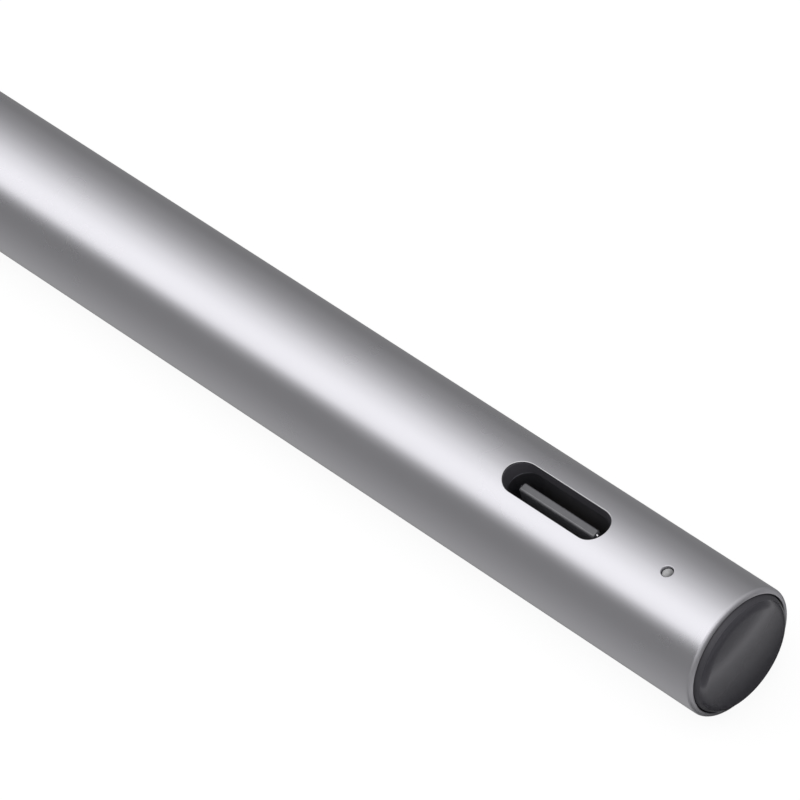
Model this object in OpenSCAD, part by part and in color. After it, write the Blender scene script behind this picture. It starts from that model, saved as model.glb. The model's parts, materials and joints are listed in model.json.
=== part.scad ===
// Rechargeable stylus pen, lying along X with its tip towards +X.
// The charging port, the status light and the side keys face +Z.
// Depths are measured along the pen from the rim of the tail, heights from the pen's axis.

/* [Barrel] */
// Length of the tube from its tail rim to the nose
barrel_len = 124; // [122:1:140]
// Outside diameter of the tube
barrel_d = 9.5; // [9.2:0.1:11]
// Wall of the tube
barrel_wall = 0.55; // [0.45:0.05:0.7]
// Rounding of the tail rim
rim_round = 0.3; // [0.1:0.02:0.3]
// How much wider than the bore the tail mouth is, on the radius
mouth_step = 0.19; // [0.15:0.01:0.24]

/* [Nose and nib] */
// Length of the visible nose cone
nose_len = 21.6; // [20:0.1:28]
// Radius of the nose cone at its mouth
nose_tip_r = 1.75; // [1.6:0.05:2.2]
// Radius of the hole that the nib comes out of
nose_mouth_r = 1.15; // [1.1:0.01:1.3]
// How far the nib stands out of the nose
nib_proud = 3.6; // [2.5:0.1:5]
// Radius of the nib's shaft
nib_r = 0.85; // [0.7:0.01:0.9]
// Radius of the nib's rounded point
nib_tip_r = 0.6; // [0.4:0.05:0.7]
// Travel of the nib against the force sensor
nib_travel = 0.4; // [0.2:0.05:0.5]

/* [Tail cap] */
// Height of the cap's dome above the rim
cap_proud = 0.8; // [0.2:0.05:1]
// Gap round the cap
cap_gap = 0.06; // [0.05:0.01:0.1]
// How far the cap's side reaches into the tube
cap_side = 1.55; // [1.2:0.05:2]
// Rounding between the cap's dome and its side
cap_edge = 0.9; // [0.3:0.05:1]
// Travel of the cap when it is pressed
cap_travel = 0.4; // [0.2:0.05:0.5]
// Length of the bush that guides the cap's stem
bush_len = 1; // [0.8:0.1:1.2]
// Radius of the cap's stem
stem_r = 1.6; // [1.4:0.05:1.7]

/* [Charging port] */
// Distance of the port's centre from the tail rim
port_depth = 15.1; // [14.5:0.1:18]
// Length of the cut-out in the tube
port_l = 8.85; // [8.8:0.05:9.2]
// Width of the cut-out in the tube
port_w = 2.6; // [2.6:0.02:3]
// Depth of the receptacle's mouth below the top of the tube
port_recess = 1.1; // [1.05:0.05:1.3]
// Length of the receptacle's mouth
mouth_l = 8.34; // [8.3:0.01:8.4]
// Width of the receptacle's mouth
mouth_w = 2.56; // [2.5:0.01:2.6]
// Sheet thickness of the receptacle's shell
shell_wall = 0.3; // [0.2:0.05:0.3]
// Height of the receptacle above its board
shell_h = 5.95; // [5.8:0.05:6]
// Length of the tongue
tongue_l = 6.69; // [6.6:0.01:6.7]
// Thickness of the tongue
tongue_t = 0.7; // [0.6:0.05:0.75]

/* [Status light] */
// Distance of the light from the tail rim
light_depth = 5.32; // [5.2:0.02:5.6]
// Radius of the hole in the tube
light_hole_r = 0.43; // [0.4:0.01:0.6]

/* [Side keys] */
// Distance of the lower key's centre from the tube's front end
key_back = 12.4; // [12:0.2:14]
// Distance between the centres of the two keys
key_pitch = 12; // [11.5:0.5:13]
// Length of a key
key_l = 9; // [7:0.5:9.5]
// Width of a key
key_w = 2.8; // [2.4:0.1:3]
// How far a key stands proud of the tube
key_proud = 0.2; // [0.1:0.05:0.4]
// Travel of a key
key_travel = 0.25; // [0.15:0.05:0.3]

/* [Inside] */
// Length of the battery
battery_len = 48; // [40:1:50]
// Thickness of the port board and of the main board
board_t = 0.6; // [0.4:0.1:0.7]
// Height of the main board's top above the axis
board_top = 1; // [0.8:0.1:1.1]

/* [Hidden] */
$fn = 48;

// Clearances: a seat, a running fit, a loose fit round a board or chip, and the overrun of cuts
slip = 0.02;
run = 0.06;
loose = 0.1;
cut = 1;

// Whole pen
overall_len = cap_proud + barrel_len + nose_len + nib_proud;
tail_x = cap_proud - overall_len / 2;
tip_depth = barrel_len + nose_len + nib_proud;

// Tube
barrel_r = barrel_d / 2;
bore_r = barrel_r - barrel_wall;
mouth_r = bore_r + mouth_step;
carrier_r = bore_r - slip;
arc_steps = 6;

// Tail cap, from its dome to the end of its stem
cap_r = mouth_r - cap_gap;
cap_roof = 0.75;
cap_wall = 0.75;
mouth_depth = cap_side + cap_travel + loose;
bush_end = mouth_depth + bush_len;
clip_t = 0.3;
clip_r = 2.4;
clip_groove = 0.3;
clip_opening = 1.6;
clip_start = bush_end + slip;
stem_tail = 0.4;
stem_end = clip_start + clip_t + stem_tail;
cap_flat_r = 0.4;
dome_angle = 8;
dome_r = (cap_r - cap_edge * (1 - sin(dome_angle)) - cap_flat_r) / sin(dome_angle);
cap_edge_depth = dome_r * (1 - cos(dome_angle)) + cap_edge * cos(dome_angle) - cap_proud;

// Tail spring
tail_wire_r = 0.13;
tail_coil_r = 2.6;
tail_turns = 2;
tail_spring_start = cap_roof + slip;
tail_spring_end = mouth_depth - slip;

// Tail switch on its upright board
switch_gap = cap_travel + slip;
tail_switch_start = stem_end + switch_gap;
tail_switch_t = 1.2;
tail_switch_w = 2.8;
switch_pin_r = 0.45;
switch_pin_in = 0.5;
tail_board_start = tail_switch_start + tail_switch_t;
tail_board_t = 0.4;
tail_board_top = 1.5;
chassis_start = tail_board_start + tail_board_t;

// Status light and the strip that carries it
strip_t = 0.12;
strip_w = 2.2;
bridge_t = 0.25;
bridge_top = tail_board_top + loose + bridge_t;
light_l = 1;
bridge_start = light_depth - light_l;
light_w = 0.6;
light_h = 0.4;
lens_r = light_hole_r - run / 2;
lens_sink = 0.12;
lens_dome = 0.16;
lens_flange_r = 0.85;
lens_flange_h = 0.8;
lens_bottom = bridge_top + strip_t + light_h + slip;
lens_top = barrel_r - lens_sink;
tail_foot = 1.1;
tail_foot_gap = 1.04;

// Receptacle, standing on the port board
shell_top = barrel_r - port_recess;
shell_l = mouth_l + 2 * shell_wall;
shell_w = mouth_w + 2 * shell_wall;
tail_leg_depth = port_depth - shell_l / 2 - tail_foot_gap - tail_foot;
port_board_top = shell_top - shell_h;
port_board_bottom = port_board_top - board_t;
port_board_w = 2 * sqrt(pow(bore_r - loose, 2) - pow(port_board_bottom, 2));
base_t = 0.35;
tongue_sink = 0.02;
tongue_top = shell_top - tongue_sink;
tongue_bottom = port_board_top + base_t;
tongue_root_t = 1.2;
tongue_root_h = 1.2;
tongue_bevel = 0.12;
mid_plate_t = 0.15;
mid_plate_out = 0.1;
mid_plate_sink = 0.3;
contact_count = 12;
contact_pitch = 0.5;
contact_w = 0.25;
contact_t = 0.1;
contact_in = 0.06;
contact_sink = 1.5;
contact_bottom = tongue_bottom + tongue_root_h;
contact_top = tongue_top - contact_sink;

// Liner between the cut-out and the receptacle
lip_sink = 0.2;
liner_flange = 0.7;
liner_drop = 0.75;
liner_skin = 0.04;
liner_mouth_l = mouth_l - slip;
liner_mouth_w = port_w - slip - 2 * liner_skin;
liner_bottom = shell_top - liner_drop;

// Rear chassis: window over the front of the port board, then the cup of the rear pad
chassis_back_wall = 0.5;
board_back = chassis_start + chassis_back_wall;
window_start = port_depth + shell_l / 2 + liner_flange + loose;
window_len = 4.4;
window_end = window_start + window_len;
window_w = 5;
window_wall = 0.4;
cup_depth = 0.8;
cup_start = window_end + window_wall;
rear_chassis_end = cup_start + cup_depth;

// Battery, pads and leads
battery_room = 0.6;
sleeve_r = bore_r - battery_room;
sleeve_t = 0.1;
sleeve_lip = 0.6;
pad_t = 1;
battery_start = cup_start + pad_t;
battery_end = battery_start + battery_len;
terminal_r = 1.2;
terminal_h = 0.3;
battery_board_start = battery_end + terminal_h;
battery_board_t = 0.6;
battery_board_in = 0.3;
battery_board_r = sleeve_r - battery_board_in;
front_pad_start = battery_board_start + battery_board_t;
front_pad_r = 2.6;
lead_r = 0.3;
lead_side = 1.6;
lead_run = 3.8;

// Chips: length, width and height
chip_gap = 0.7;
head_gap = 1.6;
controller_size = [5, 5, 0.8];
driver_size = [3, 3, 0.75];
radio_size = [4, 4, 0.8];
motion_size = [2, 2, 0.7];
crystal_size = [2.5, 2, 0.6];
aerial_size = [3.2, 1.6, 0.5];
charge_size = [2.2, 2.2, 0.7];
passive_size = [1, 0.5, 0.35];
passive_pitch = 1.6;
passive_side = 2.3;
port_passive_side = 2;
port_passive_pitch = 0.9;
port_passive_size = [0.5, 0.5, 0.35];

// Side keys and the key frame under them
upper_key_depth = barrel_len - key_back - key_pitch;
lower_key_depth = upper_key_depth + key_pitch;
key_depths = [upper_key_depth, lower_key_depth];
key_flange = 0.7;
frame_margin = 0.5;
frame_over = key_l / 2 + frame_margin;
frame_start = upper_key_depth - frame_over;
frame_end = lower_key_depth + frame_over - slip;

// Front chassis and main board
front_chassis_start = front_pad_start + pad_t;
wall_t = 0.8;
coupler_len = 6;
carrier_start = barrel_len - coupler_len;
front_wall_start = carrier_start - wall_t;
board_setback = 1.2;
board_start = front_chassis_start + board_setback;
board_end = front_wall_start - 2 * loose;
board_bottom = board_top - board_t;
board_w = 2 * sqrt(pow(bore_r - loose, 2) - pow(board_top, 2));
pocket_w = 5.2;
pocket_floor = 3;
rib_len = 3;
screw_in = 5.5;
screw_back = board_start + screw_in;
controller_depth = screw_back + head_gap + controller_size[0] / 2;
driver_depth = controller_depth + controller_size[0] / 2 + chip_gap + driver_size[0] / 2;

// Link strip along the battery
link_t = 0.1;
link_w = 2.2;
link_low = sleeve_r + slip;
link_high = link_low + link_t;
link_foot = 0.9;
link_in = 0.6;
link_rear = window_end - link_in;
link_front = board_start + link_in;

// Key posts, switches and the frame's height
key_floor = 2.95;
key_post_r = 0.7;
key_switch_l = 3;
key_switch_w = 2.6;
key_switch_h = 1;
key_switch_top = board_top + key_switch_h;
key_post_bottom = key_switch_top + key_travel + run / 2;
frame_top = key_floor - key_travel - loose;
frame_w = 5.8;
frame_seat = 0.5;

// Screws: one in the rear of the board, one through the key frame
screw_r = 0.55;
screw_head_r = 1;
screw_head_h = 0.4;
screw_len = 2.3;
screw_mid = (upper_key_depth + lower_key_depth) / 2;
screw_places = [[screw_back, board_top], [screw_mid, board_top + frame_seat]];

// Nose: coupler, carrier, force sensor and nib holder
coupler_wall = 0.6;
coupler_r = bore_r - coupler_wall;
spigot_wall = 0.65;
spigot_r = coupler_r - slip;
carrier_flange_t = 1;
spigot_start = carrier_start + carrier_flange_t + loose;
nose_inner_r = coupler_r - spigot_wall;
nose_curve = 1.45;
nose_steps = 14;
carrier_body_r = nose_inner_r - loose;
carrier_body_len = 7;
carrier_nose_wall = 0.64;
carrier_len = 16;
chamber_wall = 0.65;
chamber_r = carrier_body_r - chamber_wall;
nose_room = 0.2;
nose_room_end = carrier_start + carrier_len + nose_room;
nose_funnel = 5.8;
nose_throat = nose_room_end + nose_funnel;
sensor_t = 1.6;
sensor_end = carrier_start + sensor_t;
force_pad_r = 1.2;
force_pad_t = 0.6;
holder_wall = 0.73;
holder_r = nib_r + slip + holder_wall;
carrier_nose_r = holder_r + run + carrier_nose_wall;
holder_tail_r = holder_r - loose;
holder_flange_r = chamber_r - loose;
holder_flange_t = 0.8;
nib_spring_len = 3;
nib_wire_r = 0.13;
nib_turns = 4;
holder_start = sensor_end + force_pad_t + nib_travel + run;
flange_start = sensor_end + nib_spring_len;
flange_end = flange_start + holder_flange_t;
holder_out = 0.8;
holder_end = carrier_start + carrier_len + holder_out;
nib_seat = 7.2;
nib_start = holder_end - nib_seat;

// Nib: its shoulder sits in the nose's mouth
nib_gap = 0.13;
nib_base_r = nose_mouth_r - nib_gap;
nib_flat_r = 0.1;
shoulder_in = 1.4;
shoulder_depth = barrel_len + nose_len - shoulder_in;
shoulder_len = 0.5;
nib_taper_start = barrel_len + nose_len;
core_r = 0.3;
core_cover = 1.4;
core_end = tip_depth - core_cover;

// Tilt electrode and its wire
tilt_ring_len = 2.8;
tilt_ring_start = nose_room_end - slip - tilt_ring_len;
tilt_wire_r = 0.13;
tilt_wire_height = carrier_body_r - tilt_wire_r - slip;
tilt_wire_start = board_end - tilt_wire_r - slip;

// Places of the other chips: under the main board, and on the port board
pocket_start = screw_back + rib_len / 2;
radio_depth = pocket_start + chip_gap + radio_size[0] / 2;
crystal_depth = radio_depth + radio_size[0] / 2 + chip_gap + crystal_size[0] / 2;
motion_depth = crystal_depth + crystal_size[0] / 2 + chip_gap + motion_size[0] / 2;
aerial_depth = screw_mid + rib_len / 2 + head_gap + aerial_size[0] / 2;
charge_depth = window_start + loose + charge_size[0] / 2;

// Points along an arc of a half section, as [radius, depth]
function arc(centre, r, from, to) = [for (i = [0 : arc_steps])
    let (a = from + (to - from) * i / arc_steps) [centre[0] + r * cos(a), centre[1] + r * sin(a)]];

// Outside radius of the nose cone at a share of its length
function nose_r(share) = nose_tip_r + (barrel_r - nose_tip_r) * (1 - pow(share, nose_curve));

// Places its children at a depth on the pen's axis
module at(depth) translate([tail_x + depth, 0, barrel_r]) children();

// A round bar along the pen
module bar(r, len) rotate([0, 90, 0]) cylinder(r = r, h = len);

// A solid of revolution about the pen's axis, from points given as [radius, depth]
module turned(points) rotate([0, 90, 0]) rotate_extrude() polygon(points);

// A box from one depth to another, centred across the pen, between two heights
module block(from, to, width, low, high)
    translate([tail_x + from, -width / 2, barrel_r + low]) cube([to - from, width, high - low]);

// A flat outline with round ends
module obround(len, wid) {
    square([len - wid, wid], center = true);
    for (side = [-1, 1])
        translate([side * (len - wid) / 2, 0]) circle(d = wid);
}

// An upright prism with round ends, centred on a depth, between two heights
module slot(depth, len, wid, low, high)
    at(depth) translate([0, 0, low]) linear_extrude(high - low) obround(len, wid);

// An upright round post at a depth, between two heights
module post(depth, r, low, high) at(depth) translate([0, 0, low]) cylinder(r = r, h = high - low);

// A chip standing on a height, or hanging under it
module chip(depth, side, size, height, under = false)
    translate([tail_x + depth - size[0] / 2, side - size[1] / 2,
        barrel_r + height - (under ? size[2] : 0)]) cube(size);

// A coil spring along the pen, between two depths
module coil(coil_r, wire_r, turns, from, to) {
    rings = 14 * turns;
    sides = 6;
    rise = (to - from - 2 * wire_r) / rings;
    points = [for (i = [0 : rings]) for (j = [0 : sides - 1])
        let (a = 360 * turns * i / rings, b = 360 * j / sides, r = coil_r + wire_r * cos(b))
        [wire_r + rise * i + wire_r * sin(b), r * cos(a), r * sin(a)]];
    walls = [for (i = [0 : rings - 1]) for (j = [0 : sides - 1])
        let (k = (j + 1) % sides, a = i * sides, b = a + sides)
        each [[a + j, b + k, b + j], [a + j, a + k, b + k]]];
    ends = [[for (j = [0 : sides - 1]) sides - 1 - j],
        [for (j = [0 : sides - 1]) rings * sides + j]];
    at(from) polyhedron(points, concat(walls, ends));
}

module barrel_tube() color("silver") difference() {
    at(0) turned(concat([[mouth_r, 0]],
        arc([barrel_r - rim_round, rim_round], rim_round, -90, 0),
        [[barrel_r, barrel_len], [bore_r, barrel_len],
         [bore_r, mouth_depth], [mouth_r, mouth_depth]]));
    slot(port_depth, port_l, port_w, 0, barrel_r + cut);
    post(light_depth, light_hole_r, 0, barrel_r + cut);
    for (depth = key_depths)
        slot(depth, key_l + 2 * run, key_w + 2 * run, 0, barrel_r + cut);
}

module nose_cone() color("dimgray") at(0) turned(concat(
    [[nose_inner_r, spigot_start], [spigot_r, spigot_start], [spigot_r, barrel_len]],
    [for (i = [0 : nose_steps]) [nose_r(i / nose_steps), barrel_len + nose_len * i / nose_steps]],
    [[nose_mouth_r, barrel_len + nose_len], [nose_mouth_r, nose_throat],
     [nose_inner_r, nose_room_end]]));

module nose_coupler() color("goldenrod") at(0) turned(
    [[coupler_r, carrier_start], [carrier_r, carrier_start],
     [carrier_r, barrel_len], [coupler_r, barrel_len]]);

module nib() color("darkslategray") at(0) turned(concat(
    [[core_r, nib_start], [nib_r, nib_start], [nib_r, shoulder_depth],
     [nib_base_r, shoulder_depth + shoulder_len], [nib_base_r, nib_taper_start]],
    arc([nib_flat_r, tip_depth - nib_tip_r + nib_flat_r], nib_tip_r - nib_flat_r, 0, 90),
    [[0, tip_depth], [0, core_end], [core_r, core_end]]));

module nib_core() color("black") at(nib_start) bar(core_r - slip / 2, core_end - nib_start - slip);

module nib_holder() color("gainsboro") at(0) turned(
    [[0, holder_start], [holder_tail_r, holder_start], [holder_tail_r, flange_start],
     [holder_flange_r, flange_start], [holder_flange_r, flange_end], [holder_r, flange_end],
     [holder_r, holder_end], [nib_r + slip, holder_end], [nib_r + slip, nib_start - slip],
     [0, nib_start - slip]]);

module nib_spring() color("lightgray") coil((holder_tail_r + holder_flange_r) / 2 + run,
    nib_wire_r, nib_turns, sensor_end + slip, flange_start - slip);

module force_sensor() color("darkgray") at(carrier_start) bar(chamber_r - slip, sensor_t);

module force_pad() color("black") at(sensor_end) bar(force_pad_r, force_pad_t);

module sensor_carrier() color("dimgray") difference() {
    at(0) turned([[chamber_r, carrier_start], [spigot_r - slip, carrier_start],
        [spigot_r - slip, carrier_start + carrier_flange_t],
        [carrier_body_r, carrier_start + carrier_flange_t],
        [carrier_body_r, carrier_start + carrier_body_len],
        [carrier_nose_r, carrier_start + carrier_body_len],
        [carrier_nose_r, carrier_start + carrier_len],
        [holder_r + run, carrier_start + carrier_len],
        [holder_r + run, flange_end + slip], [chamber_r, flange_end + slip]]);
    block(carrier_start - cut, carrier_start + carrier_body_len + cut,
        2 * (tilt_wire_r + slip), tilt_wire_height - tilt_wire_r - slip, carrier_body_r + cut);
}

module tilt_ring() color("goldenrod") at(tilt_ring_start) difference() {
    bar(nose_inner_r - slip, tilt_ring_len);
    translate([-cut, 0, 0]) bar(carrier_nose_r + slip, tilt_ring_len + 2 * cut);
}

module tilt_wire() color("gold") {
    at(tilt_wire_start) translate([0, 0, tilt_wire_height])
        bar(tilt_wire_r, tilt_ring_start - tilt_wire_start);
    post(tilt_wire_start, tilt_wire_r, board_top, tilt_wire_height);
}

module front_chassis() color("dimgray") difference() {
    at(front_chassis_start) bar(carrier_r, carrier_start - front_chassis_start);
    block(front_chassis_start - cut, front_wall_start, 2 * barrel_r, board_bottom, barrel_r);
    block(front_chassis_start + wall_t, screw_back - rib_len / 2, pocket_w, -pocket_floor,
        board_bottom + cut);
    block(pocket_start, screw_mid - rib_len / 2, pocket_w, -pocket_floor, board_bottom + cut);
    block(screw_mid + rib_len / 2, front_wall_start - wall_t, pocket_w, -pocket_floor,
        board_bottom + cut);
    for (place = screw_places)
        post(place[0], screw_r + slip, place[1] - screw_len - slip, board_bottom + cut);
    at(front_wall_start - cut) translate([0, 0, tilt_wire_height])
        bar(tilt_wire_r + slip, wall_t + 2 * cut);
}

module main_board() color("darkgreen") difference() {
    block(board_start, board_end, board_w, board_bottom, board_top);
    for (place = screw_places)
        post(place[0], screw_r + loose, board_bottom - cut, board_top + cut);
}

module controller_chip() color("black") chip(controller_depth, 0, controller_size, board_top);

module driver_chip() color("black") chip(driver_depth, 0, driver_size, board_top);

module radio_chip() color("black") chip(radio_depth, 0, radio_size, board_bottom, true);

module clock_crystal() color("silver") chip(crystal_depth, 0, crystal_size, board_bottom, true);

module motion_sensor() color("black") chip(motion_depth, 0, motion_size, board_bottom, true);

module board_aerial() color("white") chip(aerial_depth, 0, aerial_size, board_bottom, true);

module board_passives() color("tan") {
    count = floor((screw_mid - rib_len / 2 - radio_depth) / passive_pitch);
    for (i = [1 : count - 1]) for (side = [-1, 1])
        chip(radio_depth + passive_pitch * i, side * passive_side, passive_size,
            board_bottom, true);
}

module board_screws() color("lightgray") for (place = screw_places) {
    post(place[0], screw_head_r, place[1], place[1] + screw_head_h);
    post(place[0], screw_r, place[1] - screw_len, place[1]);
}

// A side key: its cap, the flange that keeps it in the tube, and the post over its switch
module side_key(depth) color("dimgray") {
    intersection() {
        slot(depth, key_l, key_w, key_floor, barrel_r + key_proud + cut);
        at(0) bar(barrel_r + key_proud, barrel_len);
    }
    intersection() {
        slot(depth, key_l + 2 * key_flange, key_w + 2 * key_flange, key_floor, barrel_r);
        at(0) bar(bore_r - run, barrel_len);
    }
    post(depth, key_post_r, key_post_bottom, key_floor);
}

module upper_key() side_key(upper_key_depth);

module lower_key() side_key(lower_key_depth);

module key_frame() color("black") difference() {
    block(frame_start, frame_end, frame_w, board_top, frame_top);
    for (depth = key_depths)
        block(depth - key_switch_l / 2 - loose, depth + key_switch_l / 2 + loose,
            key_switch_w + 2 * loose, board_top - cut, frame_top + cut);
    post(screw_mid, screw_r + loose, board_top - cut, frame_top + cut);
    post(screw_mid, screw_head_r + loose, board_top + frame_seat, frame_top + cut);
}

module key_switches() color("silver") for (depth = key_depths) difference() {
    block(depth - key_switch_l / 2, depth + key_switch_l / 2, key_switch_w, board_top,
        key_switch_top);
    post(depth, switch_pin_r + run, key_switch_top - switch_pin_in - key_travel - run,
        key_switch_top + cut);
}

module key_pin(depth) color("white")
    post(depth, switch_pin_r, key_switch_top - switch_pin_in, key_post_bottom);

module upper_switch_pin() key_pin(upper_key_depth);

module lower_switch_pin() key_pin(lower_key_depth);

module battery_cell() color("lightsteelblue") {
    at(battery_start) bar(sleeve_r - sleeve_t - slip / 2, battery_len);
    at(battery_end) bar(terminal_r, terminal_h);
}

module battery_sleeve() color("steelblue") at(0) turned(
    [[sleeve_r - sleeve_t, battery_start], [sleeve_r, battery_start], [sleeve_r, battery_end],
     [sleeve_r, battery_end + sleeve_t], [sleeve_r - sleeve_lip, battery_end + sleeve_t],
     [sleeve_r - sleeve_lip, battery_end], [sleeve_r - sleeve_t, battery_end]]);

module battery_board() color("darkgreen")
    at(battery_board_start) bar(battery_board_r, battery_board_t);

module battery_leads() color("firebrick") for (side = [-1, 1])
    at(front_pad_start) translate([0, side * lead_side, board_top + lead_r])
        bar(lead_r, front_chassis_start + lead_run - front_pad_start);

module rear_foam_pad() color("dimgray") at(cup_start) bar(sleeve_r, pad_t);

module front_foam_pad() color("dimgray") at(0) turned(
    [[front_pad_r, front_pad_start], [sleeve_r, front_pad_start],
     [sleeve_r, front_chassis_start], [front_pad_r, front_chassis_start]]);

module link_strip() color("orange") {
    block(link_rear, link_front, link_w, link_low, link_high);
    block(link_rear, link_rear + link_t, link_w, port_board_top, link_high);
    block(link_rear - link_foot, link_rear + link_t, link_w, port_board_top,
        port_board_top + link_t);
    block(link_front - link_t, link_front, link_w, board_top, link_high);
    block(link_front - link_t, link_front + link_foot, link_w, board_top, board_top + link_t);
}

module rear_chassis() color("dimgray") difference() {
    union() {
        at(chassis_start) bar(carrier_r, rear_chassis_end - chassis_start);
        block(bridge_start, chassis_start + cut, strip_w + 2 * loose, bridge_top - bridge_t,
            bridge_top);
    }
    block(chassis_start - cut, tail_leg_depth + strip_t + loose, strip_w + 2 * loose,
        bridge_top, barrel_r);
    block(tail_leg_depth - loose, tail_leg_depth + tail_foot + loose, strip_w + 2 * loose,
        port_board_top - cut, bridge_top + cut);
    slot(port_depth, port_l + 2 * liner_flange + 2 * slip, port_w + 2 * liner_flange + 2 * slip,
        liner_bottom - slip, barrel_r);
    slot(port_depth, shell_l + 2 * loose, shell_w + 2 * loose, port_board_bottom, barrel_r);
    block(board_back - loose, window_end + loose, port_board_w + 2 * slip, -barrel_r,
        port_board_top + slip);
    block(window_start, window_end, window_w, port_board_bottom, barrel_r);
    at(cup_start) bar(sleeve_r + slip, cup_depth + cut);
    block(window_start, rear_chassis_end + cut, link_w + 2 * loose, link_low - loose, barrel_r);
}

module port_board() color("darkgreen")
    block(board_back, window_end, port_board_w, port_board_bottom, port_board_top);

module charge_chip() color("black") chip(charge_depth, 0, charge_size, port_board_top);

module port_passives() color("tan") for (i = [-1 : 1]) for (side = [-1, 1])
    chip(charge_depth + i * port_passive_pitch, side * port_passive_side, port_passive_size,
        port_board_top);

module port_shell() color("silver") difference() {
    slot(port_depth, shell_l, shell_w, port_board_top, shell_top);
    slot(port_depth, mouth_l, mouth_w, port_board_top - cut, shell_top + cut);
}

module port_base() color("black")
    slot(port_depth, mouth_l - 2 * slip, mouth_w - 2 * slip, port_board_top,
        port_board_top + base_t);

// Outline of the tongue from its end: a wide root, then the blade with a bevelled edge
module port_tongue() color("dimgray") difference() {
    at(port_depth) rotate([90, 0, 90]) linear_extrude(tongue_l, center = true) polygon(
        [[-tongue_root_t / 2, tongue_bottom], [tongue_root_t / 2, tongue_bottom],
         [tongue_root_t / 2, contact_bottom - slip], [tongue_t / 2, contact_bottom - slip],
         [tongue_t / 2, tongue_top - tongue_bevel],
         [tongue_t / 2 - tongue_bevel, tongue_top], [tongue_bevel - tongue_t / 2, tongue_top],
         [-tongue_t / 2, tongue_top - tongue_bevel],
         [-tongue_t / 2, contact_bottom - slip], [-tongue_root_t / 2, contact_bottom - slip]]);
    block(port_depth - tongue_l, port_depth + tongue_l, mid_plate_t, tongue_bottom - cut,
        tongue_top - mid_plate_sink);
    contact_rows(slip / 4);
}

// The two rows of contacts, with room added all round when they are cut out of the tongue
module contact_rows(room) for (i = [0 : contact_count - 1]) for (side = [-1, 1])
    translate([tail_x + port_depth + (i - (contact_count - 1) / 2) * contact_pitch
            - contact_w / 2 - room,
        side * (tongue_t / 2 - contact_in) - (side < 0 ? contact_t : 0) - room,
        barrel_r + contact_bottom - room])
        cube([contact_w + 2 * room, contact_t + 2 * room,
            contact_top - contact_bottom + 2 * room]);

module port_contacts() color("gold") contact_rows(0);

module port_mid_plate() color("lightgray")
    block(port_depth - tongue_l / 2 - mid_plate_out, port_depth + tongue_l / 2 + mid_plate_out,
        mid_plate_t - slip, tongue_bottom, tongue_top - mid_plate_sink - slip);

module port_liner() color("black") difference() {
    union() {
        intersection() {
            slot(port_depth, port_l - slip, port_w - slip, liner_bottom, barrel_r + cut);
            at(0) bar(barrel_r - lip_sink, barrel_len);
        }
        intersection() {
            slot(port_depth, port_l + 2 * liner_flange, port_w + 2 * liner_flange,
                liner_bottom, barrel_r);
            at(0) bar(carrier_r, barrel_len);
        }
    }
    slot(port_depth, liner_mouth_l, liner_mouth_w, liner_bottom - cut, barrel_r + cut);
    slot(port_depth, shell_l + 2 * slip, shell_w + 2 * slip, liner_bottom - cut,
        shell_top + slip);
}

module light_lens() color("whitesmoke") {
    at(light_depth) rotate_extrude() polygon(concat([[0, lens_bottom], [lens_r, lens_bottom]],
        arc([lens_r - lens_dome, lens_top - lens_dome], lens_dome, 0, 90), [[0, lens_top]]));
    intersection() {
        post(light_depth, lens_flange_r, bore_r - lens_flange_h, barrel_r);
        at(0) bar(carrier_r, barrel_len);
    }
}

module light_chip() color("white")
    chip(light_depth, 0, [light_l, light_w, light_h], bridge_top + strip_t);

module tail_strip() color("orange") {
    block(bridge_start, tail_leg_depth + strip_t, strip_w, bridge_top, bridge_top + strip_t);
    block(tail_leg_depth, tail_leg_depth + strip_t, strip_w, port_board_top,
        bridge_top + strip_t);
    block(tail_leg_depth, tail_leg_depth + tail_foot, strip_w, port_board_top,
        port_board_top + strip_t);
}

module tail_cap() color("dimgray") at(0) turned(concat(
    [[0, -cap_proud]],
    [for (i = [0 : arc_steps - 1]) let (a = dome_angle * i / arc_steps)
        [cap_flat_r + dome_r * sin(a), dome_r * (1 - cos(a)) - cap_proud]],
    arc([cap_r - cap_edge, cap_edge_depth], cap_edge, dome_angle - 90, 0),
    [[cap_r, cap_side], [cap_r - cap_wall, cap_side],
     [cap_r - cap_wall, cap_roof], [stem_r, cap_roof],
     [stem_r, clip_start], [stem_r - clip_groove, clip_start],
     [stem_r - clip_groove, clip_start + clip_t], [stem_r, clip_start + clip_t],
     [stem_r, stem_end], [0, stem_end]]));

module tail_clip() color("lightgray") difference() {
    at(clip_start) bar(clip_r, clip_t);
    at(clip_start - cut) bar(stem_r - clip_groove + slip / 2, clip_t + 2 * cut);
    block(clip_start - cut, clip_start + clip_t + cut, clip_opening, -clip_r - cut, 0);
}

module tail_spring() color("lightgray")
    coil(tail_coil_r, tail_wire_r, tail_turns, tail_spring_start, tail_spring_end);

module tail_bush() color("black") at(0) turned(
    [[stem_r + run, mouth_depth], [carrier_r, mouth_depth], [carrier_r, bush_end],
     [stem_r + run, bush_end]]);

module tail_switch() color("silver") difference() {
    block(tail_switch_start, tail_board_start, tail_switch_w, -tail_switch_w / 2,
        tail_switch_w / 2);
    at(tail_switch_start - cut) bar(switch_pin_r + run, cut + switch_pin_in + cap_travel + run);
}

module tail_switch_pin() color("white")
    at(stem_end) bar(switch_pin_r, switch_gap + switch_pin_in);

module tail_switch_board() color("darkgreen") difference() {
    at(tail_board_start) bar(carrier_r, tail_board_t);
    block(tail_board_start - cut, chassis_start + cut, 2 * barrel_r, tail_board_top, barrel_r);
}

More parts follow.
